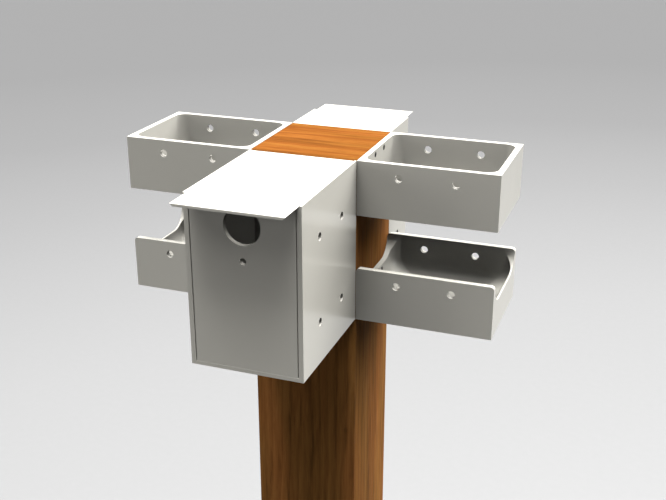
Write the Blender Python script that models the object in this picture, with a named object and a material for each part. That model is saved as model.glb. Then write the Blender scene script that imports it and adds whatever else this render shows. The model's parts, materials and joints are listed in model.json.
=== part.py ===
"""Bird feeder on a square post: two nest boxes and four feeding trays around the post's head.

Frame: origin at the centre of the post's foot, +Z up, the deep nest box towards -Y, trays
towards +X and -X. Metres.
"""

import math

import bmesh
import bpy
from mathutils import Matrix, Vector

# Driving dimensions
POST_WIDTH = 0.120          # square post; every box and tray is as wide as the post
TOTAL_HEIGHT = 1.600        # foot of the post to its flush top
CAP_THICKNESS = 0.020       # board across the post's end grain
TRAY_WALL = POST_WIDTH / 20
BOX_WALL = POST_WIDTH / 24  # nest box sheet, panel included
GAP = 0.0003                # clearance between faces that touch

FRONT_BOX_DEPTH = 0.152     # measured out from the post's face
REAR_BOX_DEPTH = 0.070
BOX_HEIGHT = POST_WIDTH * 1.5

TRAY_LENGTH = POST_WIDTH * 1.25
TRAY_HEIGHT = POST_WIDTH / 2
LOWER_TRAY_DROP = POST_WIDTH        # top of the boxes down to a lower tray's rim

HALF = POST_WIDTH / 2
TRAY_INNER_HALF = HALF - TRAY_WALL
TRAY_FLOOR = TRAY_WALL - TRAY_HEIGHT
BOX_INNER_HALF = HALF - BOX_WALL
OVERCUT = 0.002             # how far a cutter runs past the surface it opens

# Lid: a bevelled sheet lying between the side walls, on their chamfered inner edges
LID_THICKNESS = 0.003
LID_OVERHANG = 0.031
LID_DROP = 0.0005           # the lid's face below the wall tops
LID_SIDE_CLEARANCE = 0.00045
LID_SEAT = LID_THICKNESS    # size of the 45 degree chamfer on each side wall
LID_BOTTOM = LID_DROP + LID_THICKNESS

# Panel: the nest box's outer wall, sliding up on two tongues
PANEL_SEAM = 0.001          # open seam between the panel and each side wall
PANEL_TOP = LID_BOTTOM + 0.00035
SILL_HEIGHT = 0.004         # floor edge left under the panel
TONGUE_THICKNESS = 0.002
TONGUE_REACH = 0.0022       # into the side wall
ENTRANCE_RADIUS = 0.019
ENTRANCE_DROP = 0.027
PERCH_HOLE_RADIUS = 0.0035
PERCH_HOLE_DROP = 0.062

# Small round holes
VENT_RADIUS = 0.00425
VENT_INSET = POST_WIDTH * 0.375     # from either end of a side wall, and from top and bottom
TRAY_VENT_DROP = POST_WIDTH / 8

# Tray insides
TRAY_CORNER_RADIUS = 0.012
UPPER_FLOOR_RADIUS = 0.008
LIP_DROP = POST_WIDTH / 5           # a lower tray's end lips below its rim
NOTCH_RADIUS = LIP_DROP             # round corners of the notch above each lip
SCOOP_END_RADIUS = POST_WIDTH / 4
SCOOP_SIDE_RADIUS = POST_WIDTH / 5
CORNER_SPREAD = 0.3                 # how fast a scoop's inside corners widen towards its floor
RIM_END_RADIUS = 0.004              # top corners of a lower tray's long walls

# Countersunk wood screws
SCREW_LENGTH = 0.030
SCREW_RADIUS = 0.0015
SCREW_HEAD_RADIUS = 0.0028
SCREW_HEAD_DEPTH = 0.0016
SCREW_TIP_LENGTH = 0.005
HOLE_CLEARANCE = 0.00035
RECESS_DEPTH = 0.0010
RECESS_HALF = 0.0015                # a cross of two slots
SLOT_HALF = 0.00035
BOX_SCREW_SPREAD = 0.030            # either side of the middle
BOX_SCREW_INSET = 0.030             # below the top and above the bottom
TRAY_SCREW_SPREAD = 0.015
TRAY_SCREW_DROP = 0.0056            # below the rim, or below a lower tray's lip
TRAY_SCREW_LOW = 0.040

ROUND_SEGMENTS = 16
ENTRANCE_SEGMENTS = 48
SCREW_SEGMENTS = 12
CORNER_STEPS = 6
FILLET_STEPS = 8
SMOOTH_ANGLE = math.radians(35)


def clear_scene():
    for item in list(bpy.data.objects):
        bpy.data.objects.remove(item, do_unlink=True)


def make_material(name, colour, roughness, metallic=0.0):
    material = bpy.data.materials.new(name)
    material.use_nodes = True
    shader = material.node_tree.nodes["Principled BSDF"]
    shader.inputs["Base Color"].default_value = (*colour, 1.0)
    shader.inputs["Roughness"].default_value = roughness
    shader.inputs["Metallic"].default_value = metallic
    return material


# ---------------------------------------------------------------- mesh building

def add_box(bm, low, high):
    """Add an axis-aligned box between two corners."""
    size = Vector(high) - Vector(low)
    middle = (Vector(high) + Vector(low)) / 2
    matrix = Matrix.Translation(middle) @ Matrix.Diagonal((*size, 1.0))
    bmesh.ops.create_cube(bm, size=1.0, matrix=matrix)


def add_loft(bm, rings):
    """Skin a stack of rings of equal point count, and close both ends."""
    loops = [[bm.verts.new(point) for point in ring] for ring in rings]
    count = len(loops[0])
    faces = [bm.faces.new(loops[0]), bm.faces.new(loops[-1])]
    for below, above in zip(loops, loops[1:]):
        for i in range(count):
            j = (i + 1) % count
            faces.append(bm.faces.new((below[i], below[j], above[j], above[i])))
    bmesh.ops.recalc_face_normals(bm, faces=faces)


def add_prism(bm, outline, axis, low, high):
    """Extrude an outline along axis "X", "Y" or "Z". Its points are the other two coordinates."""
    index = "XYZ".index(axis)

    def at(point, value):
        coords = list(point)
        coords.insert(index, value)
        return coords

    add_loft(bm, [[at(point, low) for point in outline], [at(point, high) for point in outline]])


def add_turned(bm, profile, matrix, segments):
    """Turn a profile of (radius, height) points about the local Z axis, then place it."""
    rings = []
    for radius, height in profile:
        angles = [2 * math.pi * i / segments for i in range(segments)]
        rings.append([matrix @ Vector((radius * math.cos(a), radius * math.sin(a), height)) for a in angles])
    add_loft(bm, rings)


def arc(centre, radius, start, end, steps):
    """Points on an arc, in degrees, both ends included."""
    points = []
    for i in range(steps + 1):
        angle = math.radians(start + (end - start) * i / steps)
        points.append((centre[0] + radius * math.cos(angle), centre[1] + radius * math.sin(angle)))
    return points


def make_object(name, bm, material=None, location=(0, 0, 0), turn=0.0):
    mesh = bpy.data.meshes.new(name)
    bm.to_mesh(mesh)
    bm.free()
    mesh.shade_smooth()
    mesh.set_sharp_from_angle(angle=SMOOTH_ANGLE)
    item = bpy.data.objects.new(name, mesh)
    item.location = location
    item.rotation_euler = (0, 0, turn)
    bpy.context.scene.collection.objects.link(item)
    if material:
        mesh.materials.append(material)
    return item


def cut(item, label, bm):
    """Cut a shape, drawn in the item's own frame, out of the item."""
    cutter = make_object(f"cut_{item.name}_{label}", bm)
    cutter.parent = item
    cutter.hide_render = True
    cutter.display_type = "WIRE"
    modifier = item.modifiers.new(label, "BOOLEAN")
    modifier.operation = "DIFFERENCE"
    modifier.solver = "EXACT"
    modifier.object = cutter


def cut_bores(item, label, axis, spots, radius, low, high, segments=ROUND_SEGMENTS):
    """Cut round holes along axis at spots, given as the other two coordinates in order."""
    bm = bmesh.new()
    for spot in spots:
        add_prism(bm, arc(spot, radius, 0, 360 * (1 - 1 / segments), segments - 1), axis, low, high)
    cut(item, label, bm)


# ---------------------------------------------------------------- screws

def screw_matrix(point, direction):
    """Place a screw's frame: origin on its head's face, local +Z out of the head."""
    return Matrix.Translation(point) @ (-Vector(direction)).to_track_quat("Z", "Y").to_matrix().to_4x4()


def countersunk_profile():
    """Profile of a countersunk hole, from above the head's face down past the wall behind it."""
    shank = SCREW_RADIUS + HOLE_CLEARANCE
    head = SCREW_HEAD_RADIUS + HOLE_CLEARANCE
    neck = -SCREW_HEAD_DEPTH - HOLE_CLEARANCE
    return [(head, OVERCUT), (head, -HOLE_CLEARANCE), (shank, neck), (shank, -2 * TRAY_WALL)]


def cut_screw_holes(item, spots, direction):
    """Countersink the item for screws whose heads' faces are at spots, driven along direction."""
    bm = bmesh.new()
    for spot in spots:
        add_turned(bm, countersunk_profile(), screw_matrix(spot, direction), ROUND_SEGMENTS)
    cut(item, "screw_holes", bm)


def make_screw_mesh(material):
    """One countersunk screw with a cross recess, shared by every screw object."""
    bm = bmesh.new()
    tip = 0.0003
    profile = [
        (SCREW_HEAD_RADIUS, 0.0),
        (SCREW_HEAD_RADIUS, -HOLE_CLEARANCE),
        (SCREW_RADIUS, -SCREW_HEAD_DEPTH),
        (SCREW_RADIUS, -SCREW_LENGTH + SCREW_TIP_LENGTH),
        (tip, -SCREW_LENGTH),
    ]
    add_turned(bm, profile, Matrix.Identity(4), SCREW_SEGMENTS)
    blank = make_object("screw_blank", bm, material)
    for label, half_x, half_y in (("across", RECESS_HALF, SLOT_HALF), ("along", SLOT_HALF, RECESS_HALF)):
        bm = bmesh.new()
        add_box(bm, (-half_x, -half_y, -RECESS_DEPTH), (half_x, half_y, OVERCUT))
        cut(blank, label, bm)
    graph = bpy.context.evaluated_depsgraph_get()
    mesh = bpy.data.meshes.new_from_object(blank.evaluated_get(graph))
    mesh.name = "wood_screw"
    for item in [*blank.children, blank]:
        bpy.data.objects.remove(item, do_unlink=True)
    return mesh


def place_screws(prefix, mesh, holder, spots, direction):
    """Put a screw at each spot in the holder's frame, and return their frames in the world."""
    frames = []
    for number, spot in enumerate(spots, start=1):
        item = bpy.data.objects.new(f"{prefix}_screw_{number}", mesh)
        bpy.context.scene.collection.objects.link(item)
        item.matrix_world = holder.matrix_basis @ screw_matrix(spot, direction)
        frames.append(item.matrix_world.copy())
    return frames


# ---------------------------------------------------------------- nest boxes
# A nest box is drawn in its own frame: the post's face at y = 0, +Y outwards, wall tops at z = 0.

def lid_outline(top_half, top, bottom):
    """Section of the lid or of its seat: sides slanting in at 45 degrees from the top edge."""
    bottom_half = top_half - (top - bottom)
    return [(-top_half, top), (-bottom_half, bottom), (bottom_half, bottom), (top_half, top)]


def make_box_shell(name, depth, material, location, turn):
    """Back, floor and two side walls in one piece, open at the top and at the outer end."""
    bm = bmesh.new()
    add_box(bm, (-HALF, GAP, -BOX_HEIGHT), (HALF, depth, 0))
    shell = make_object(name, bm, material, location, turn)

    end = (BOX_INNER_HALF, depth + OVERCUT, OVERCUT)
    bm = bmesh.new()
    add_box(bm, (-BOX_INNER_HALF, BOX_WALL, -BOX_HEIGHT + BOX_WALL), end)
    cut(shell, "chamber", bm)

    bm = bmesh.new()
    seat_half = HALF - BOX_WALL + LID_SEAT + OVERCUT
    add_prism(bm, lid_outline(seat_half, OVERCUT, -PANEL_TOP), "Y", -OVERCUT, depth + OVERCUT)
    cut(shell, "lid_seat", bm)

    bm = bmesh.new()
    sill = -BOX_HEIGHT + SILL_HEIGHT
    add_box(bm, (-BOX_INNER_HALF, depth - BOX_WALL - GAP, sill), end)
    cut(shell, "sill", bm)

    bm = bmesh.new()
    groove_half = TONGUE_THICKNESS / 2 + GAP
    reach = BOX_INNER_HALF + TONGUE_REACH + GAP
    middle = depth - BOX_WALL / 2
    add_box(bm, (-reach, middle - groove_half, sill), (reach, middle + groove_half, OVERCUT))
    cut(shell, "grooves", bm)
    return shell


def vent_spots(depth):
    """Side-wall hole centres (y, z): two columns in a deep box, one in a shallow box."""
    columns = [VENT_INSET, depth - VENT_INSET] if depth > 2 * VENT_INSET else [depth / 2]
    return [(y, z) for y in columns for z in (-VENT_INSET, -BOX_HEIGHT + VENT_INSET)]


def make_panel(name, depth, material, location, turn):
    """Outer wall with the entrance, and a tongue down each side."""
    half = BOX_INNER_HALF - PANEL_SEAM
    tongue = BOX_INNER_HALF + TONGUE_REACH
    inner, outer = depth - BOX_WALL, depth
    low = depth - (BOX_WALL + TONGUE_THICKNESS) / 2
    high = low + TONGUE_THICKNESS
    right = [(half, inner), (half, low), (tongue, low), (tongue, high), (half, high), (half, outer)]
    left = [(-x, y) for x, y in reversed(right)]
    bm = bmesh.new()
    add_prism(bm, right + left, "Z", -BOX_HEIGHT + SILL_HEIGHT + GAP, -PANEL_TOP)
    panel = make_object(name, bm, material, location, turn)
    through = (inner - OVERCUT, outer + OVERCUT)
    cut_bores(panel, "entrance", "Y", [(0, -ENTRANCE_DROP)], ENTRANCE_RADIUS, *through, ENTRANCE_SEGMENTS)
    cut_bores(panel, "perch_hole", "Y", [(0, -PERCH_HOLE_DROP)], PERCH_HOLE_RADIUS, *through)
    return panel


def make_lid(name, depth, material, location, turn):
    """Bevelled sheet that overhangs the outer end."""
    bm = bmesh.new()
    top_half = HALF - BOX_WALL + LID_SEAT - LID_DROP - LID_SIDE_CLEARANCE
    add_prism(bm, lid_outline(top_half, -LID_DROP, -LID_BOTTOM), "Y", GAP, depth + LID_OVERHANG)
    return make_object(name, bm, material, location, turn)


def make_nest_box(side, depth, turn, plastic, screw_mesh):
    """One nest box with its panel, lid and screws. Returns the screws' frames."""
    location = Matrix.Rotation(turn, 3, "Z") @ Vector((0, HALF, 0)) + Vector((0, 0, TOTAL_HEIGHT))
    shell = make_box_shell(f"{side}_box_shell", depth, plastic, location, turn)
    cut_bores(shell, "vents", "X", vent_spots(depth), VENT_RADIUS, -HALF - OVERCUT, HALF + OVERCUT)
    make_panel(f"{side}_box_panel", depth, plastic, location, turn)
    make_lid(f"{side}_box_lid", depth, plastic, location, turn)
    heights = (-BOX_SCREW_INSET, -BOX_HEIGHT + BOX_SCREW_INSET)
    spots = [(x, BOX_WALL, z) for z in heights for x in (-BOX_SCREW_SPREAD, BOX_SCREW_SPREAD)]
    cut_screw_holes(shell, spots, (0, -1, 0))
    return place_screws(f"{side}_box", screw_mesh, shell, spots, (0, -1, 0))


# ---------------------------------------------------------------- trays
# A tray is drawn in its own frame: the post's face at x = 0, +X outwards, its rim at z = 0.

def inside_ring(z, inset_x, inset_y, radius):
    """A tray's inside at height z: a rounded rectangle set in from its end and side walls."""
    middle = TRAY_LENGTH / 2
    reach_x = middle - TRAY_WALL - inset_x - radius
    reach_y = TRAY_INNER_HALF - inset_y - radius
    points = []
    for start, sign_x, sign_y in ((0, 1, 1), (90, -1, 1), (180, -1, -1), (270, 1, -1)):
        centre = (middle + sign_x * reach_x, sign_y * reach_y)
        points += arc(centre, radius, start, start + 90, CORNER_STEPS)
    return [(x, y, z) for x, y in points]


def cut_vents(tray):
    spots = [(x, -TRAY_VENT_DROP) for x in (VENT_INSET, TRAY_LENGTH - VENT_INSET)]
    cut_bores(tray, "vents", "Y", spots, VENT_RADIUS, -HALF - OVERCUT, HALF + OVERCUT)


def make_upper_tray(name, material, location, turn):
    """Square-ended trough with rounded inside corners."""
    bm = bmesh.new()
    add_box(bm, (GAP, -HALF, -TRAY_HEIGHT), (TRAY_LENGTH, HALF, 0))
    tray = make_object(name, bm, material, location, turn)
    rings = [inside_ring(OVERCUT, 0, 0, TRAY_CORNER_RADIUS)]
    for step in range(FILLET_STEPS + 1):
        angle = math.radians(90 * step / FILLET_STEPS)
        rise = UPPER_FLOOR_RADIUS * (1 - math.sin(angle))
        inset = UPPER_FLOOR_RADIUS * (1 - math.cos(angle))
        rings.append(inside_ring(TRAY_FLOOR + rise, inset, inset, TRAY_CORNER_RADIUS - inset))
    bm = bmesh.new()
    add_loft(bm, rings)
    cut(tray, "inside", bm)
    cut_vents(tray)
    return tray


def side_inset(height_above_floor, radius):
    """How far a wall's floor fillet stands in at a height."""
    rise = radius - min(height_above_floor, radius)
    return radius - math.sqrt(radius ** 2 - rise ** 2)


def make_lower_tray(name, material, location, turn):
    """Scoop with low rounded ends between its two long walls."""
    top_left = arc((GAP + RIM_END_RADIUS, -RIM_END_RADIUS), RIM_END_RADIUS, 180, 90, CORNER_STEPS)
    top_right = arc((TRAY_LENGTH - RIM_END_RADIUS, -RIM_END_RADIUS), RIM_END_RADIUS, 90, 0, CORNER_STEPS)
    outline = [(GAP, -TRAY_HEIGHT), *top_left, *top_right, (TRAY_LENGTH, -TRAY_HEIGHT)]
    bm = bmesh.new()
    add_prism(bm, outline, "Y", -HALF, HALF)
    tray = make_object(name, bm, material, location, turn)

    corner = TRAY_INNER_HALF - NOTCH_RADIUS
    notch = arc((-corner, -LIP_DROP + NOTCH_RADIUS), NOTCH_RADIUS, 180, 270, FILLET_STEPS)
    notch += arc((corner, -LIP_DROP + NOTCH_RADIUS), NOTCH_RADIUS, 270, 360, FILLET_STEPS)
    notch = [(-TRAY_INNER_HALF, OVERCUT), *notch, (TRAY_INNER_HALF, OVERCUT)]
    bm = bmesh.new()
    add_prism(bm, notch, "X", -OVERCUT, TRAY_LENGTH + OVERCUT)
    cut(tray, "notch", bm)

    rings = [inside_ring(OVERCUT, 0, 0, TRAY_CORNER_RADIUS)]
    for step in range(FILLET_STEPS + 1):
        angle = math.radians(90 * step / FILLET_STEPS)
        rise = SCOOP_END_RADIUS * (1 - math.sin(angle))
        inset_x = SCOOP_END_RADIUS * (1 - math.cos(angle))
        inset_y = side_inset(rise, SCOOP_SIDE_RADIUS)
        radius = TRAY_CORNER_RADIUS + CORNER_SPREAD * (inset_x + inset_y)
        rings.append(inside_ring(TRAY_FLOOR + rise, inset_x, inset_y, radius))
    bm = bmesh.new()
    add_loft(bm, rings)
    cut(tray, "scoop", bm)
    cut_vents(tray)
    return tray


def make_trays(side, turn, plastic, screw_mesh):
    """The upper and lower tray on one side of the post. Returns their screws' frames."""
    location = Matrix.Rotation(turn, 3, "Z") @ Vector((HALF, 0, 0)) + Vector((0, 0, TOTAL_HEIGHT))
    upper = make_upper_tray(f"{side}_upper_tray", plastic, location, turn)
    low_location = location - Vector((0, 0, LOWER_TRAY_DROP))
    lower = make_lower_tray(f"{side}_lower_tray", plastic, low_location, turn)
    across = (-TRAY_SCREW_SPREAD, TRAY_SCREW_SPREAD)
    upper_spots = [(TRAY_WALL, y, -drop) for drop in (TRAY_SCREW_DROP, TRAY_SCREW_LOW) for y in across]
    lower_spots = [(TRAY_WALL + GAP, y, -LIP_DROP - TRAY_SCREW_DROP) for y in across]
    frames = []
    for level, tray, spots in (("upper", upper, upper_spots), ("lower", lower, lower_spots)):
        cut_screw_holes(tray, spots, (-1, 0, 0))
        frames += place_screws(f"{side}_{level}_tray", screw_mesh, tray, spots, (-1, 0, 0))
    return frames


# ---------------------------------------------------------------- post

def make_post(wood, screw_frames):
    """Square post with a board across its top, drilled for every screw."""
    split = TOTAL_HEIGHT - CAP_THICKNESS
    bm = bmesh.new()
    add_box(bm, (-HALF, -HALF, 0), (HALF, HALF, split))
    post = make_object("post", bm, wood)
    bm = bmesh.new()
    add_box(bm, (-HALF, -HALF, split + GAP), (HALF, HALF, TOTAL_HEIGHT))
    cap = make_object("post_cap", bm, wood)
    radius = SCREW_RADIUS + HOLE_CLEARANCE
    profile = [(radius, OVERCUT - BOX_WALL), (radius, -SCREW_LENGTH - 2 * HOLE_CLEARANCE)]
    for item, in_cap in ((post, False), (cap, True)):
        bm = bmesh.new()
        for frame in screw_frames:
            if (frame.translation.z > split) == in_cap:
                add_turned(bm, profile, frame, SCREW_SEGMENTS)
        cut(item, "pilot_holes", bm)


def main():
    clear_scene()
    wood = make_material("wood", (0.42, 0.17, 0.05), 0.55)
    plastic = make_material("white_plastic", (0.86, 0.86, 0.84), 0.35)
    steel = make_material("black_steel", (0.03, 0.03, 0.03), 0.45, 1.0)
    screw_mesh = make_screw_mesh(steel)
    frames = make_nest_box("front", FRONT_BOX_DEPTH, math.pi, plastic, screw_mesh)
    frames += make_nest_box("rear", REAR_BOX_DEPTH, 0.0, plastic, screw_mesh)
    frames += make_trays("right", 0.0, plastic, screw_mesh)
    frames += make_trays("left", math.pi, plastic, screw_mesh)
    make_post(wood, frames)


main()
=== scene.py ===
"""Looks of the bird feeder post: fine nest boxes, trays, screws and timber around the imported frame.

Each fine piece is drawn in its own frame, placed where its CAD node lies and then stands for that
node. Metres, +Z up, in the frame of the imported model.
"""

import json
import math
from functools import partial

import bmesh
import bpy
from mathutils import Matrix, Vector

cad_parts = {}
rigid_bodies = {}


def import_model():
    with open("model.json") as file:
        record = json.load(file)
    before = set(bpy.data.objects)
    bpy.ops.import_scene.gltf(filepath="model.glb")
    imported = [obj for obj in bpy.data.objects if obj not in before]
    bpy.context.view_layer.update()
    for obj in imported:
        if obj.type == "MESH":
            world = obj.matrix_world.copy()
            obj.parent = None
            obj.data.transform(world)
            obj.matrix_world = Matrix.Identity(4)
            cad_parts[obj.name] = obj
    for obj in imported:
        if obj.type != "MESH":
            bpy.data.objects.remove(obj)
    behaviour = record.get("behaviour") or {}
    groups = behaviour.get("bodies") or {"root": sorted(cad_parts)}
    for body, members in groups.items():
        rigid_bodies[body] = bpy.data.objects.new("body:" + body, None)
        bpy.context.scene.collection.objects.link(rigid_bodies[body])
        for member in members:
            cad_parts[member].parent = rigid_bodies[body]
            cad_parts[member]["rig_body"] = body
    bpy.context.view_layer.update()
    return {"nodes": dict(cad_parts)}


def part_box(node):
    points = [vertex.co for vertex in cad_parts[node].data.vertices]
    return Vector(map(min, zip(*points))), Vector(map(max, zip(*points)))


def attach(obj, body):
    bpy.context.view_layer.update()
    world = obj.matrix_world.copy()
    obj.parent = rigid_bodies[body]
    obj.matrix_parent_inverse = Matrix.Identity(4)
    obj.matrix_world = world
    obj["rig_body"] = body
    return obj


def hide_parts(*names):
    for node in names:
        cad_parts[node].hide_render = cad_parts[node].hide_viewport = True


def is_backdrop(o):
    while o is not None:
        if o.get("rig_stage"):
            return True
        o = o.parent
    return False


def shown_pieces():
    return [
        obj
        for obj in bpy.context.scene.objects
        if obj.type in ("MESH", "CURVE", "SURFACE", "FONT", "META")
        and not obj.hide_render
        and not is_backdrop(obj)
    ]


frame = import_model()

# Sheets and clearances
GAP = 0.0003                # clearance between faces that touch
BOX_WALL = 0.005
TRAY_WALL = 0.006
OVERCUT = 0.002             # how far a cutter runs past the surface it opens
EDGE_RADIUS = 0.00035       # broken edges of the sheets
MERGE_DISTANCE = 1e-6       # points nearer than this become one
FLAT_ANGLE = math.radians(0.5)      # faces within this of each other are joined

# Nest boxes
LID_THICKNESS = 0.003
LID_SEAT = LID_THICKNESS    # 45 degree chamfer along each side wall
PANEL_SEAM = 0.001
PANEL_CLEARANCE = 0.00035   # under the lid
SILL_HEIGHT = 0.004
TONGUE_THICKNESS = 0.002
TONGUE_REACH = 0.0022
ENTRANCE_RADIUS = 0.019
ENTRANCE_DROP = 0.027       # its middle below the wall tops
PERCH_HOLE_RADIUS = 0.0035
PERCH_HOLE_DROP = 0.062

# Small round holes
VENT_RADIUS = 0.00425
VENT_INSET = 0.045
TRAY_VENT_DROP = 0.015

# Trays
TRAY_CORNER_RADIUS = 0.012
UPPER_FLOOR = 0.003         # thickness of the upper trays' floor
UPPER_FLOOR_RADIUS = 0.003
OUTER_LIP = 0.002           # where a scoop runs out over the lower trays' open end
LIP_DROP = 0.024
NOTCH_RADIUS = 0.024
SCOOP_END_RADIUS = 0.030
SCOOP_SIDE_RADIUS = 0.024
CORNER_SPREAD = 0.45        # how fast a scoop's inside corners widen towards its floor
RIM_END_RADIUS = 0.004

# Screws
SCREW_CLEARANCE = 0.00035
SHANK_RADIUS = 0.0015
HEAD_RIM = 0.0003           # straight edge of the head, above its cone
HEAD_DEPTH = 0.0016
NECK_LENGTH = 0.004         # plain shank between the head and the thread
THREAD_PITCH = 0.0014
THREAD_DEPTH = 0.0004
TIP_LENGTH = 0.005
TIP_LEAST = 0.08            # the thread's narrowest, as a share of its radius
POINT_RADIUS = 0.00008
RECESS_DEPTH = 0.0013
RECESS_HALF = 0.0016
RECESS_SLOT = 0.0004
RECESS_TAPER = 0.45         # its bottom's size against its top's

# Timber
ARRIS_RADIUS = 0.0012
RING_WIDTH = 0.0085
RING_WAVE = (0.045, 0.045, 0)       # how far the growth rings are bent
POST_PITH = (0.10, 0.17, 0)         # shifts that put the pith outside the timber
CAP_PITH = (0.05, 0.21, 0)
PORE_COLOUR = (0.06, 0.018, 0.005, 1)
GREEN_HUE, RED_HUE = (0.47, 0.53, 0.48), (0.54, 0.475, 0.46)    # 0.5 leaves a tone as it is

# The post's tones are paler than the cap's: painted light that makes up for the dim light on the post's
# front
POST_TONES_PAINTED_PALER = [(0.0, (0.165, 0.070, 0.021)), (0.35, (0.27, 0.113, 0.032)),
              (0.65, (0.33, 0.140, 0.040)), (1.0, (0.40, 0.175, 0.052))]
CAP_TONES = [(0.0, (0.12, 0.036, 0.006)), (0.35, (0.19, 0.062, 0.010)),
             (0.65, (0.24, 0.085, 0.0155)), (1.0, (0.30, 0.118, 0.024))]

PLASTIC_TINTS = [(0, (0.79, 0.765, 0.68)), (1, (0.815, 0.788, 0.705))]
FLECK_COLOUR = (0.62, 0.59, 0.52, 1)
# Painted shade in the plastic's inside corners: its grey, and how far it reaches from a corner
CORNER_SHADE_COLOUR = (0.52, 0.48, 0.40, 1)
CORNER_SHADE_REACH = 0.004                  # from an inside corner
STEEL_TONES = [(0.3, (0.012, 0.012, 0.013)), (0.75, (0.045, 0.042, 0.040))]

# Camera, with its place in widths of the post, upwards from the post's top
CAMERA_PLACE = (3.16339, -8.34861, 2.48898)
CAMERA_DOWN, CAMERA_TURN = 21.792, 20.143       # degrees
LENS, SENSOR = 54.47, 36                        # mm

# Studio
WORLD_COLOUR = (0.55, 0.55, 0.55, 1)
FLOOR_RADIUS = 30
# Painted light: the floor is palest round this spot and grows darker further off, in the tones that
# follow
FLOOR_LIGHT_POOL_CENTRE = (1.2, 0, 0)          # where the floor is palest, right of the post
FLOOR_NEAR, FLOOR_FAR = 2.0, 12.0   # metres from there
FLOOR_PAINTED_FALLOFF = [(0.0, 0.27), (0.15, 0.24), (0.32, 0.192), (0.47, 0.16), (0.7, 0.143), (1.0, 0.142)]
FLOOR_MOTTLE = [(0.3, (0.985, 0.985, 0.985)), (0.7, (1, 1, 1))]

# How finely curves are drawn
BORE_STEPS = 40
ENTRANCE_STEPS = 96
CORNER_STEPS = 14
FILLET_STEPS = 16
THREAD_STEPS = 18           # points in one turn
THREAD_ROWS = 6             # rings in one pitch
FLOOR_STEPS = 96
SMOOTH_ANGLE = math.radians(30)


# ---------------------------------------------------------------- mesh building

def add_box(bm, low, high):
    """Add an axis-aligned box between two corners."""
    size = Vector(high) - Vector(low)
    middle = (Vector(high) + Vector(low)) / 2
    matrix = Matrix.Translation(middle) @ Matrix.Diagonal((*size, 1.0))
    bmesh.ops.create_cube(bm, size=1.0, matrix=matrix)


def add_loft(bm, rings):
    """Skin a stack of rings of equal point count, and close both ends."""
    loops = [[bm.verts.new(point) for point in ring] for ring in rings]
    count = len(loops[0])
    faces = [bm.faces.new(loops[0]), bm.faces.new(loops[-1])]
    for below, above in zip(loops, loops[1:]):
        for i in range(count):
            j = (i + 1) % count
            faces.append(bm.faces.new((below[i], below[j], above[j], above[i])))
    bmesh.ops.recalc_face_normals(bm, faces=faces)


def add_prism(bm, outline, axis, low, high):
    """Extrude an outline along axis "X", "Y" or "Z". Its points are the other two coordinates."""
    index = "XYZ".index(axis)

    def at(point, value):
        coords = list(point)
        coords.insert(index, value)
        return coords

    add_loft(bm, [[at(point, low) for point in outline], [at(point, high) for point in outline]])


def level_ring(radius, height, segments):
    """Points round the local Z axis at one height. The radius is a number, or a function of angle."""
    points = []
    for i in range(segments):
        angle = 2 * math.pi * i / segments
        reach = radius(angle) if callable(radius) else radius
        points.append(Vector((reach * math.cos(angle), reach * math.sin(angle), height)))
    return points


def add_turned(bm, profile, matrix, segments):
    """Turn a profile of (radius, height) points about the local Z axis, then place it."""
    rings = [level_ring(radius, height, segments) for radius, height in profile]
    add_loft(bm, [[matrix @ point for point in ring] for ring in rings])


def arc(centre, radius, start, end, steps):
    """Points on an arc, in degrees, both ends included."""
    points = []
    for i in range(steps + 1):
        angle = math.radians(start + (end - start) * i / steps)
        points.append((centre[0] + radius * math.cos(angle), centre[1] + radius * math.sin(angle)))
    return points


def circle(centre, radius, steps):
    """Points on a whole circle, the first not repeated at the end."""
    return arc(centre, radius, 0, 360 * (1 - 1 / steps), steps - 1)


def new_object(name, bm):
    """Turn a bmesh into an object of the scene, and free the bmesh."""
    mesh = bpy.data.meshes.new(name)
    bm.to_mesh(mesh)
    bm.free()
    item = bpy.data.objects.new(name, mesh)
    bpy.context.scene.collection.objects.link(item)
    return item


def cut(item, bm):
    """Cut a shape, drawn in the item's own frame, out of the item."""
    cutter = new_object(f"cut_{item.name}", bm)
    modifier = item.modifiers.new("cut", "BOOLEAN")
    modifier.operation = "DIFFERENCE"
    modifier.solver = "EXACT"
    modifier.object = cutter
    apply_modifiers(item)
    bpy.data.objects.remove(cutter, do_unlink=True)


def cut_bores(item, axis, spots, radius, low, high, steps=BORE_STEPS):
    """Cut round holes along axis at spots, given as the other two coordinates in order."""
    for spot in spots:
        bm = bmesh.new()
        add_prism(bm, circle(spot, radius, steps), axis, low, high)
        cut(item, bm)


def apply_modifiers(item):
    """Replace an object's mesh with what its modifiers make of it."""
    graph = bpy.context.evaluated_depsgraph_get()
    mesh = bpy.data.meshes.new_from_object(item.evaluated_get(graph))
    item.modifiers.clear()
    item.data = mesh


def break_edges(item, radius, segments=2):
    """Round every sharp edge a little, and shade the faces either side as they were."""
    bm = bmesh.new()
    bm.from_mesh(item.data)
    bmesh.ops.remove_doubles(bm, verts=bm.verts, dist=MERGE_DISTANCE)
    bmesh.ops.dissolve_degenerate(bm, edges=bm.edges, dist=MERGE_DISTANCE)
    bmesh.ops.dissolve_limit(bm, angle_limit=FLAT_ANGLE, verts=bm.verts, edges=bm.edges)
    bm.to_mesh(item.data)
    bm.free()
    item.data.shade_smooth()
    bevel = item.modifiers.new("edges", "BEVEL")
    bevel.width = radius
    bevel.segments = segments
    bevel.limit_method = "ANGLE"
    bevel.angle_limit = SMOOTH_ANGLE
    bevel.miter_outer = "MITER_ARC"
    normals = item.modifiers.new("normals", "WEIGHTED_NORMAL")
    normals.keep_sharp = True
    apply_modifiers(item)


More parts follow.
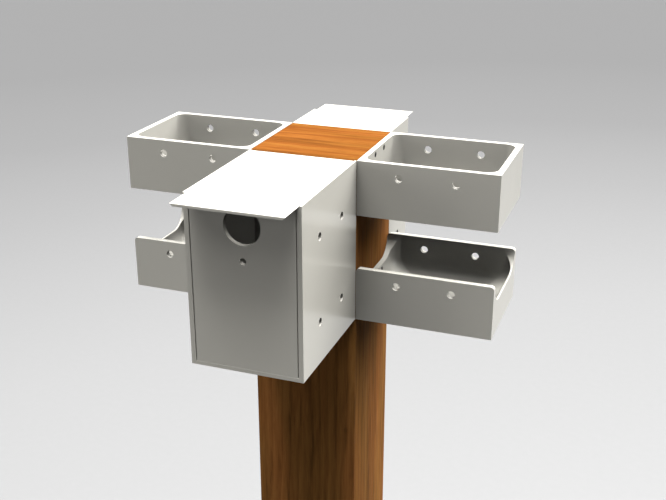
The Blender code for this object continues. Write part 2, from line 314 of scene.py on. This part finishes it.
def stand_for(item, node, material, place=Matrix.Identity(4)):
    """Put a finished piece in its place, on its node's body, instead of the node."""
    item.name = f"{node}_fine"
    item.data.transform(place)
    item.data.materials.clear()
    item.data.materials.append(material)
    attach(item, frame["nodes"][node]["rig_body"])
    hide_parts(node)


# ---------------------------------------------------------------- frames of the parts

def size_of(node):
    """A CAD node's size in x, y and z."""
    low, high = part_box(node)
    return high - low


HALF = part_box("post")[1].x
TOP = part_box("post_cap")[1].z
BOX_HEIGHT = size_of("front_box_shell").z
BOX_INNER_HALF = HALF - BOX_WALL
TRAY_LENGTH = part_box("right_upper_tray")[1].x - HALF
TRAY_HEIGHT = size_of("right_upper_tray").z
TRAY_FLOOR = TRAY_WALL - TRAY_HEIGHT
TRAY_INNER_HALF = HALF - TRAY_WALL
LID_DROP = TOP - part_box("front_box_lid")[1].z
LID_BOTTOM = LID_DROP + LID_THICKNESS
PANEL_TOP = LID_BOTTOM + PANEL_CLEARANCE
SCREW_LENGTH = size_of("front_box_screw_1").y
HEAD_RADIUS = size_of("front_box_screw_1").x / 2
SCREW_NODES = sorted(name for name in frame["nodes"] if "_screw_" in name)


def turned(point, turn):
    """A place on the post's faces, turned about the post, with the turn itself."""
    return Matrix.Rotation(turn, 4, "Z") @ Matrix.Translation(point)


def screw_place(node):
    """A screw's frame: origin on its head's face, local +Z out of the head, away from the post."""
    low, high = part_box(node)
    size = high - low
    point = (low + high) / 2
    axis = max(range(3), key=lambda i: size[i])
    outward = Vector((0, 0, 0))
    outward[axis] = math.copysign(1, point[axis])
    point += outward * size[axis] / 2
    return Matrix.Translation(point) @ outward.to_track_quat("Z", "Y").to_matrix().to_4x4()


def screws_of(owner):
    """The screws that hold one shell or tray."""
    return [name for name in SCREW_NODES if name.startswith(f"{owner}_screw_")]


def cut_screw_holes(item, owner, place):
    """Countersink a wall, drawn in its own frame, for its screws."""
    shank = SHANK_RADIUS + SCREW_CLEARANCE
    head = HEAD_RADIUS + SCREW_CLEARANCE
    neck = -HEAD_DEPTH - SCREW_CLEARANCE
    profile = [(head, OVERCUT), (head, -SCREW_CLEARANCE), (shank, neck), (shank, -2 * TRAY_WALL)]
    for node in screws_of(owner):
        bm = bmesh.new()
        add_turned(bm, profile, place.inverted() @ screw_place(node), BORE_STEPS)
        cut(item, bm)


# ---------------------------------------------------------------- nest boxes
# A nest box is drawn in its own frame: the post's face at y = 0, +Y outwards, wall tops at z = 0.

def lid_outline(top_half, top, bottom):
    """Section of the lid or of its seat: sides slanting in at 45 degrees from the top edge."""
    bottom_half = top_half - (top - bottom)
    return [(-top_half, top), (-bottom_half, bottom), (bottom_half, bottom), (top_half, top)]


def vent_spots(depth):
    """Middles of the holes in each side wall: four in a deep box, two in a shallow one."""
    columns = [VENT_INSET, depth - VENT_INSET] if depth > 2 * VENT_INSET else [depth / 2]
    return [(y, z) for y in columns for z in (-VENT_INSET, -BOX_HEIGHT + VENT_INSET)]


def make_box_shell(depth):
    """Back, floor and side walls in one, with the lid's seat, the panel's grooves and the vents."""
    bm = bmesh.new()
    add_box(bm, (-HALF, GAP, -BOX_HEIGHT), (HALF, depth, 0))
    shell = new_object("shell", bm)

    end = (BOX_INNER_HALF, depth + OVERCUT, OVERCUT)
    bm = bmesh.new()
    add_box(bm, (-BOX_INNER_HALF, BOX_WALL, -BOX_HEIGHT + BOX_WALL), end)
    cut(shell, bm)

    bm = bmesh.new()
    seat_half = HALF - BOX_WALL + LID_SEAT + OVERCUT
    add_prism(bm, lid_outline(seat_half, OVERCUT, -PANEL_TOP), "Y", -OVERCUT, depth + OVERCUT)
    cut(shell, bm)

    bm = bmesh.new()
    sill = -BOX_HEIGHT + SILL_HEIGHT
    add_box(bm, (-BOX_INNER_HALF, depth - BOX_WALL - GAP, sill), end)
    cut(shell, bm)

    bm = bmesh.new()
    groove_half = TONGUE_THICKNESS / 2 + GAP
    reach = BOX_INNER_HALF + TONGUE_REACH + GAP
    middle = depth - BOX_WALL / 2
    add_box(bm, (-reach, middle - groove_half, sill), (reach, middle + groove_half, OVERCUT))
    cut(shell, bm)
    cut_bores(shell, "X", vent_spots(depth), VENT_RADIUS, -HALF - OVERCUT, HALF + OVERCUT)
    return shell


def make_panel(depth):
    """The outer wall, with a tongue down each side, the entrance and the perch's empty hole."""
    half = BOX_INNER_HALF - PANEL_SEAM
    tongue = BOX_INNER_HALF + TONGUE_REACH
    inner, outer = depth - BOX_WALL, depth
    low = depth - (BOX_WALL + TONGUE_THICKNESS) / 2
    high = low + TONGUE_THICKNESS
    right = [(half, inner), (half, low), (tongue, low), (tongue, high), (half, high), (half, outer)]
    left = [(-x, y) for x, y in reversed(right)]
    bm = bmesh.new()
    add_prism(bm, right + left, "Z", -BOX_HEIGHT + SILL_HEIGHT + GAP, -PANEL_TOP)
    panel = new_object("panel", bm)
    through = (inner - OVERCUT, outer + OVERCUT)
    cut_bores(panel, "Y", [(0, -ENTRANCE_DROP)], ENTRANCE_RADIUS, *through, ENTRANCE_STEPS)
    cut_bores(panel, "Y", [(0, -PERCH_HOLE_DROP)], PERCH_HOLE_RADIUS, *through)
    return panel


def make_lid(width, depth):
    """A thin sheet with bevelled sides."""
    bm = bmesh.new()
    add_prism(bm, lid_outline(width / 2, -LID_DROP, -LID_BOTTOM), "Y", GAP, depth)
    return new_object("lid", bm)


def make_nest_box(side, turn, plastic):
    """Shell, panel and lid of the box on one side of the post."""
    shell_size = size_of(f"{side}_box_shell")
    lid_size = size_of(f"{side}_box_lid")
    depth = shell_size.y + GAP
    place = turned(Vector((0, HALF, TOP)), turn)
    shell = make_box_shell(depth)
    cut_screw_holes(shell, f"{side}_box", place)
    lid = make_lid(lid_size.x, lid_size.y + GAP)
    for item, part in ((shell, "shell"), (make_panel(depth), "panel"), (lid, "lid")):
        break_edges(item, EDGE_RADIUS)
        stand_for(item, f"{side}_box_{part}", plastic, place)


# ---------------------------------------------------------------- trays
# A tray is drawn in its own frame: the post's face at x = 0, +X outwards, its rim at z = 0.

def inside_ring(z, inset_x, inset_y, radius, outer_wall=TRAY_WALL):
    """A tray's inside at height z: a rounded rectangle set in from its end and side walls."""
    middle = (TRAY_LENGTH + TRAY_WALL - outer_wall) / 2
    reach_x = middle - TRAY_WALL - inset_x - radius
    reach_y = TRAY_INNER_HALF - inset_y - radius
    points = []
    for start, sign_x, sign_y in ((0, 1, 1), (90, -1, 1), (180, -1, -1), (270, 1, -1)):
        centre = (middle + sign_x * reach_x, sign_y * reach_y)
        points += arc(centre, radius, start, start + 90, CORNER_STEPS)
    return [(x, y, z) for x, y in points]


def cut_vents(tray):
    """Drill both long walls, two holes in each."""
    spots = [(x, -TRAY_VENT_DROP) for x in (VENT_INSET, TRAY_LENGTH - VENT_INSET)]
    cut_bores(tray, "Y", spots, VENT_RADIUS, -HALF - OVERCUT, HALF + OVERCUT)


def make_upper_tray():
    """A square-ended trough with rounded inside corners."""
    bm = bmesh.new()
    add_box(bm, (GAP, -HALF, -TRAY_HEIGHT), (TRAY_LENGTH, HALF, 0))
    tray = new_object("upper_tray", bm)
    rings = [inside_ring(OVERCUT, 0, 0, TRAY_CORNER_RADIUS)]
    for step in range(FILLET_STEPS + 1):
        angle = math.radians(90 * step / FILLET_STEPS)
        rise = UPPER_FLOOR_RADIUS * (1 - math.sin(angle))
        inset = UPPER_FLOOR_RADIUS * (1 - math.cos(angle))
        z = UPPER_FLOOR - TRAY_HEIGHT + rise
        rings.append(inside_ring(z, inset, inset, TRAY_CORNER_RADIUS - inset))
    bm = bmesh.new()
    add_loft(bm, rings)
    cut(tray, bm)
    cut_vents(tray)
    return tray


def side_inset(height_above_floor, radius):
    """How far a wall's floor fillet stands in at a height."""
    rise = radius - min(height_above_floor, radius)
    return radius - math.sqrt(radius ** 2 - rise ** 2)


def make_lower_tray():
    """A scoop, cut down at both ends, with its inside rising in a curve to them."""
    top_left = arc((GAP + RIM_END_RADIUS, -RIM_END_RADIUS), RIM_END_RADIUS, 180, 90, CORNER_STEPS)
    far_end = TRAY_LENGTH - RIM_END_RADIUS
    top_right = arc((far_end, -RIM_END_RADIUS), RIM_END_RADIUS, 90, 0, CORNER_STEPS)
    outline = [(GAP, -TRAY_HEIGHT), *top_left, *top_right, (TRAY_LENGTH, -TRAY_HEIGHT)]
    bm = bmesh.new()
    add_prism(bm, outline, "Y", -HALF, HALF)
    tray = new_object("lower_tray", bm)

    corner = TRAY_INNER_HALF - NOTCH_RADIUS
    notch = arc((-corner, -LIP_DROP + NOTCH_RADIUS), NOTCH_RADIUS, 180, 270, FILLET_STEPS)
    notch += arc((corner, -LIP_DROP + NOTCH_RADIUS), NOTCH_RADIUS, 270, 360, FILLET_STEPS)
    notch = [(-TRAY_INNER_HALF, OVERCUT), *notch, (TRAY_INNER_HALF, OVERCUT)]
    bm = bmesh.new()
    add_prism(bm, notch, "X", -OVERCUT, TRAY_LENGTH + OVERCUT)
    cut(tray, bm)

    rings = [inside_ring(OVERCUT, 0, 0, TRAY_CORNER_RADIUS, OUTER_LIP)]
    for step in range(FILLET_STEPS + 1):
        angle = math.radians(90 * step / FILLET_STEPS)
        rise = SCOOP_END_RADIUS * (1 - math.sin(angle))
        inset_x = SCOOP_END_RADIUS * (1 - math.cos(angle))
        inset_y = side_inset(rise, SCOOP_SIDE_RADIUS)
        radius = TRAY_CORNER_RADIUS + CORNER_SPREAD * (inset_x + inset_y)
        rings.append(inside_ring(TRAY_FLOOR + rise, inset_x, inset_y, radius, OUTER_LIP))
    bm = bmesh.new()
    add_loft(bm, rings)
    cut(tray, bm)
    cut_vents(tray)
    return tray


def make_trays(side, turn, plastic):
    """Both trays on one side of the post."""
    for level, build in (("upper", make_upper_tray), ("lower", make_lower_tray)):
        node = f"{side}_{level}_tray"
        place = turned(Vector((HALF, 0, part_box(node)[1].z)), turn)
        tray = build()
        cut_screw_holes(tray, node, place)
        break_edges(tray, EDGE_RADIUS)
        stand_for(tray, node, plastic, place)


# ---------------------------------------------------------------- screws

def thread_radius(z, angle):
    """Radius of the threaded shank at height z and angle: sharp crests on a round core."""
    phase = (z / THREAD_PITCH + angle / (2 * math.pi)) % 1.0
    crest = max(0.0, 1 - abs(phase - 0.5) * 4)
    tip = min(1.0, (z + SCREW_LENGTH) / TIP_LENGTH)
    return (SHANK_RADIUS - THREAD_DEPTH + THREAD_DEPTH * crest) * max(tip, TIP_LEAST)


def make_screw_mesh(steel):
    """A countersunk wood screw with a cross recess: origin on the head's face, shank along -Z."""
    z = -HEAD_DEPTH - NECK_LENGTH
    head = [(HEAD_RADIUS, 0.0), (HEAD_RADIUS, -HEAD_RIM), (SHANK_RADIUS, -HEAD_DEPTH), (SHANK_RADIUS, z)]
    rings = [level_ring(radius, height, THREAD_STEPS) for radius, height in head]
    row = THREAD_PITCH / THREAD_ROWS
    while z > -SCREW_LENGTH + row:
        z -= row
        rings.append(level_ring(partial(thread_radius, z), z, THREAD_STEPS))
    rings.append(level_ring(POINT_RADIUS, -SCREW_LENGTH, THREAD_STEPS))
    bm = bmesh.new()
    add_loft(bm, rings)
    blank = new_object("wood_screw", bm)
    for half_x, half_y in ((RECESS_HALF, RECESS_SLOT), (RECESS_SLOT, RECESS_HALF)):
        wide_ring = [(-half_x, -half_y), (half_x, -half_y), (half_x, half_y), (-half_x, half_y)]
        top = [(x, y, OVERCUT) for x, y in wide_ring]
        face = [(x, y, 0.0) for x, y in wide_ring]
        bottom = [(x * RECESS_TAPER, y * RECESS_TAPER, -RECESS_DEPTH) for x, y in wide_ring]
        bm = bmesh.new()
        add_loft(bm, [top, face, bottom])
        cut(blank, bm)
    mesh = blank.data
    mesh.shade_smooth()
    mesh.set_sharp_from_angle(angle=SMOOTH_ANGLE)
    mesh.materials.clear()
    mesh.materials.append(steel)
    bpy.data.objects.remove(blank, do_unlink=True)
    return mesh


def place_screws(steel):
    """Stand one shared screw mesh in for every screw."""
    mesh = make_screw_mesh(steel)
    for node in SCREW_NODES:
        item = bpy.data.objects.new(f"{node}_fine", mesh)
        bpy.context.scene.collection.objects.link(item)
        item.matrix_world = screw_place(node)
        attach(item, frame["nodes"][node]["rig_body"])
        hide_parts(node)


# ---------------------------------------------------------------- timber

def make_timber(node, material):
    """A planed board or post with eased arrises, drilled for the screws that reach it."""
    low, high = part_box(node)
    bm = bmesh.new()
    add_box(bm, low, high)
    item = new_object(node, bm)
    break_edges(item, ARRIS_RADIUS, 3)
    radius = SHANK_RADIUS + SCREW_CLEARANCE
    profile = [(radius, OVERCUT - BOX_WALL), (radius, -SCREW_LENGTH - 2 * SCREW_CLEARANCE)]
    for screw in SCREW_NODES:
        place = screw_place(screw)
        if low.z < place.translation.z < high.z:
            bm = bmesh.new()
            add_turned(bm, profile, place, THREAD_STEPS)
            cut(item, bm)
    stand_for(item, node, material)


# ---------------------------------------------------------------- materials

class Nodes:
    """Short calls that add linked shader nodes to one material."""

    def __init__(self, name):
        self.material = bpy.data.materials.new(name)
        self.material.use_nodes = True
        self.tree = self.material.node_tree
        self.shader = self.tree.nodes["Principled BSDF"]
        self.place = self.add("ShaderNodeTexCoord").outputs["Object"]

    def add(self, kind, **settings):
        node = self.tree.nodes.new(kind)
        for key, value in settings.items():
            setattr(node, key, value)
        return node

    def feed(self, socket, value):
        """Link an output to an input, or set the input's own value."""
        if isinstance(value, bpy.types.NodeSocket):
            self.tree.links.new(value, socket)
        else:
            socket.default_value = value

    def stretch(self, scale, rotation=(0, 0, 0), source=None):
        """Scaled and turned coordinates: a small scale draws a pattern out along that axis."""
        node = self.add("ShaderNodeMapping")
        self.feed(node.inputs["Vector"], source or self.place)
        node.inputs["Rotation"].default_value = rotation
        node.inputs["Scale"].default_value = scale
        return node.outputs["Vector"]

    def noise(self, scale, detail=2.0, source=None, roughness=0.5, distortion=0.0, output="Fac"):
        node = self.add("ShaderNodeTexNoise")
        self.feed(node.inputs["Vector"], source or self.place)
        node.inputs["Scale"].default_value = scale
        node.inputs["Detail"].default_value = detail
        node.inputs["Roughness"].default_value = roughness
        node.inputs["Distortion"].default_value = distortion
        return node.outputs[output]

    def math(self, operation, *values):
        node = self.add("ShaderNodeMath", operation=operation)
        for socket, value in zip(node.inputs, values):
            self.feed(socket, value)
        return node.outputs["Value"]

    def vector_math(self, operation, *values, output="Vector"):
        node = self.add("ShaderNodeVectorMath", operation=operation)
        for socket, value in zip(node.inputs, values):
            self.feed(socket, value)
        return node.outputs[output]

    def remap(self, value, low, high, new_low=0.0, new_high=1.0, smooth=False):
        node = self.add("ShaderNodeMapRange")
        if smooth:
            node.interpolation_type = "SMOOTHSTEP"
        for key, number in (("Value", value), ("From Min", low), ("From Max", high)):
            self.feed(node.inputs[key], number)
        node.inputs["To Min"].default_value = new_low
        node.inputs["To Max"].default_value = new_high
        return node.outputs["Result"]

    def ramp(self, value, stops):
        node = self.add("ShaderNodeValToRGB")
        self.feed(node.inputs["Fac"], value)
        elements = node.color_ramp.elements
        while len(elements) < len(stops):
            elements.new(0.5)
        for element, (position, colour) in zip(elements, stops):
            element.position = position
            element.color = (*colour, 1)
        return node.outputs["Color"]

    def mix(self, factor, first, second, blend="MIX"):
        node = self.add("ShaderNodeMix", data_type="RGBA", blend_type=blend)
        self.feed(next(s for s in node.inputs if s.identifier == "Factor_Float"), factor)
        for name, value in (("A_Color", first), ("B_Color", second)):
            self.feed(next(s for s in node.inputs if s.identifier == name), value)
        return next(s for s in node.outputs if s.identifier == "Result_Color")

    def bump(self, height, depth, below=None):
        """A bump of real depth in metres, over another bump's normal if there is one."""
        node = self.add("ShaderNodeBump")
        node.inputs["Strength"].default_value = 1.0
        node.inputs["Distance"].default_value = depth
        self.feed(node.inputs["Height"], height)
        if below is not None:
            self.feed(node.inputs["Normal"], below)
        return node.outputs["Normal"]


def make_plastic():
    """White moulded sheet: faint tint changes, a fine spark-eroded grain and painted shade in its inside
    corners.
    """
    n = Nodes("white_plastic")
    cloud = n.noise(9, 4)
    flecks = n.noise(1400, 2)
    tint = n.ramp(n.remap(cloud, 0.3, 0.7), PLASTIC_TINTS)
    tint = n.mix(n.remap(flecks, 0.66, 0.74, 0, 0.06), tint, FLECK_COLOUR)
    # Painted shade: ambient occlusion over a few millimetres darkens the colour in inside corners, in
    # patches, and makes it a little rougher there
    shade = n.add("ShaderNodeAmbientOcclusion", samples=6, only_local=True)
    shade.inputs["Distance"].default_value = CORNER_SHADE_REACH
    corner = n.remap(shade.outputs["AO"], 0.35, 0.85, 1, 0)
    corner_shade = n.math("MULTIPLY", corner, n.remap(n.noise(160, 5), 0.3, 0.7, 0.1, 0.4))
    n.feed(n.shader.inputs["Base Color"], n.mix(corner_shade, tint, CORNER_SHADE_COLOUR))
    smears = n.remap(n.noise(28, 5, roughness=0.65), 0.3, 0.7, 0.19, 0.215)
    rough = n.math("ADD", smears, n.math("MULTIPLY", corner_shade, 0.25))
    n.feed(n.shader.inputs["Roughness"], rough)
    n.shader.inputs["IOR"].default_value = 1.5
    waves = n.bump(n.noise(14, 1), 0.00012)
    grain = n.bump(n.noise(2200, 2), 0.000004, waves)
    n.feed(n.shader.inputs["Normal"], grain)
    return n.material


def make_wood(name, along, tones, pith):
    """Stained softwood. along is the grain's axis; tones run from its darkest lines to its palest."""
    n = Nodes(name)
    turn = (0, math.radians(90), 0) if along == "X" else (0, 0, 0)
    grain = n.stretch((1, 1, 1), turn)
    long_grain = n.stretch((1, 1, 0.11), source=grain)
    fibre_grain = n.stretch((1, 1, 0.03), source=grain)

    # Growth rings round a pith outside the board, bent by slow waves along the trunk
    wave = n.noise(17, 2.5, long_grain, output="Color")
    bent = n.vector_math("MULTIPLY_ADD", wave, RING_WAVE, grain)
    across = n.vector_math("MULTIPLY_ADD", bent, (1, 1, 0), pith)
    radius = n.vector_math("LENGTH", across, output="Value")
    ring = n.math("FRACT", n.math("DIVIDE", radius, RING_WIDTH))
    rise = n.remap(ring, 0.25, 0.86, smooth=True)
    fall = n.remap(ring, 0.9, 1.0, 1, 0, smooth=True)
    late = n.math("MULTIPLY", rise, fall)

    bands = n.noise(85, 3, n.stretch((1, 1, 0.07), source=grain), distortion=0.7)
    streaks = n.noise(330, 4, n.stretch((1, 1, 0.06), source=grain), 0.66, 0.5)
    fibres = n.noise(1500, 3, fibre_grain, 0.6)
    tone = n.math("MULTIPLY_ADD", late, -0.26, 0.60)
    tone = n.math("ADD", tone, n.remap(bands, 0.25, 0.75, -0.25, 0.25))
    tone = n.math("ADD", tone, n.remap(streaks, 0.27, 0.73, -0.36, 0.36))
    tone = n.math("ADD", tone, n.remap(fibres, 0.2, 0.8, -0.12, 0.12))
    colour = n.ramp(tone, tones)
    hue = n.remap(n.noise(38, 2, long_grain), 0.35, 0.65, 0, 1, smooth=True)
    colour = n.mix(0.5, colour, n.ramp(hue, [(0, GREEN_HUE), (1, RED_HUE)]), "OVERLAY")

    # Fine resin canals, cut as short dark dashes along the grain
    cells = n.noise(900, 1, n.stretch((1, 1, 0.05), source=grain))
    pores = n.remap(cells, 0.70, 0.78, smooth=True)
    colour = n.mix(n.math("MULTIPLY", pores, 0.5), colour, PORE_COLOUR)
    n.feed(n.shader.inputs["Base Color"], colour)
    rough = n.math("ADD", n.remap(fibres, 0.2, 0.8, 0.60, 0.76), n.math("MULTIPLY", late, -0.07))
    n.feed(n.shader.inputs["Roughness"], rough)
    n.shader.inputs["Specular IOR Level"].default_value = 0.02
    ridges = n.bump(late, 0.00012)
    fine = n.bump(fibres, 0.00007, ridges)
    n.feed(n.shader.inputs["Normal"], n.bump(n.math("SUBTRACT", 1.0, pores), 0.00012, fine))
    return n.material


def make_steel():
    """Blackened steel, patchy in tone and roughness."""
    n = Nodes("black_steel")
    patches = n.noise(900, 4, roughness=0.65)
    n.feed(n.shader.inputs["Base Color"], n.ramp(patches, STEEL_TONES))
    n.feed(n.shader.inputs["Roughness"], n.remap(patches, 0.3, 0.7, 0.34, 0.56))
    n.shader.inputs["Metallic"].default_value = 0.7
    n.feed(n.shader.inputs["Normal"], n.bump(n.noise(4000, 2), 0.00001))
    return n.material


# ---------------------------------------------------------------- studio

def make_camera():
    """Above the feeder's front right, looking down at it."""
    data = bpy.data.cameras.new("camera")
    data.lens = LENS
    data.sensor_width = SENSOR
    camera = bpy.data.objects.new("camera", data)
    width = 2 * HALF
    x, y, up = CAMERA_PLACE
    camera.location = (x * width, y * width, TOP + up * width)
    camera.rotation_euler = (math.radians(90 - CAMERA_DOWN), 0, math.radians(CAMERA_TURN))
    bpy.context.scene.collection.objects.link(camera)
    bpy.context.scene.camera = camera


def add_sun(name, azimuth, elevation, strength, angle):
    """A soft distant lamp. Azimuth 0 shines from +X and 90 from +Y; elevation is above the floor."""
    data = bpy.data.lights.new(name, "SUN")
    data.energy = strength
    data.angle = math.radians(angle)
    lamp = bpy.data.objects.new(name, data)
    a, e = math.radians(azimuth), math.radians(elevation)
    source = Vector((math.cos(a) * math.cos(e), math.sin(a) * math.cos(e), math.sin(e)))
    lamp.rotation_mode = "QUATERNION"
    lamp.rotation_quaternion = source.to_track_quat("Z", "Y")
    bpy.context.scene.collection.objects.link(lamp)


def make_lights():
    """Soft distant lamps. What lies round the object shows in its gloss, but casts no light on it."""
    add_sun("overhead", 0, 90, 6.6, 40)
    add_sun("key", 45, 60, 1.9, 36)
    add_sun("key_low", 45, 30, 1.3, 36)
    add_sun("right", 0, 30, 0.75, 36)
    add_sun("front_left", 225, 60, 0.75, 36)
    add_sun("front_low", 225, 8, 0.42, 30)
    world = bpy.data.worlds.new("studio")
    world.use_nodes = True
    background = world.node_tree.nodes["Background"]
    background.inputs["Color"].default_value = WORLD_COLOUR
    world.cycles_visibility.diffuse = False
    bpy.context.scene.world = world
    bpy.context.scene.view_settings.view_transform = "Standard"


def make_floor():
    """A wide floor with a painted pool of light: palest right of the post and darker with distance,
    standing in for the studio light's falloff.
    """
    bm = bmesh.new()
    bmesh.ops.create_circle(bm, cap_ends=True, segments=FLOOR_STEPS, radius=FLOOR_RADIUS)
    floor = new_object("floor", bm)
    n = Nodes("floor")
    # Painted light falloff: the floor's tone darkens with distance from its palest spot
    distance = n.vector_math("DISTANCE", n.place, FLOOR_LIGHT_POOL_CENTRE, output="Value")
    shade = n.remap(distance, FLOOR_NEAR, FLOOR_FAR)
    tone = n.ramp(shade, [(position, (value,) * 3) for position, value in FLOOR_PAINTED_FALLOFF])
    mottle = n.ramp(n.noise(40, 4), FLOOR_MOTTLE)
    n.feed(n.shader.inputs["Base Color"], n.mix(1.0, tone, mottle, "MULTIPLY"))
    n.feed(n.shader.inputs["Roughness"], n.remap(n.noise(60, 3), 0.3, 0.7, 0.85, 0.95))
    n.shader.inputs["Specular IOR Level"].default_value = 0.0
    floor.data.materials.append(n.material)
    floor.visible_diffuse = False
    floor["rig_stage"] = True


def main():
    """Build the studio, then every fine piece."""
    make_camera()
    make_lights()
    make_floor()
    plastic, steel = make_plastic(), make_steel()
    make_nest_box("front", math.pi, plastic)
    make_nest_box("rear", 0.0, plastic)
    make_trays("right", 0.0, plastic)
    make_trays("left", math.pi, plastic)
    place_screws(steel)
    make_timber("post", make_wood("post_wood", "Z", POST_TONES_PAINTED_PALER, POST_PITH))
    make_timber("post_cap", make_wood("cap_wood", "X", CAP_TONES, CAP_PITH))
    # No piece lights another by diffuse light, which keeps their insides as dark as the photo's
    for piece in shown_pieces():
        piece.visible_diffuse = False


main()
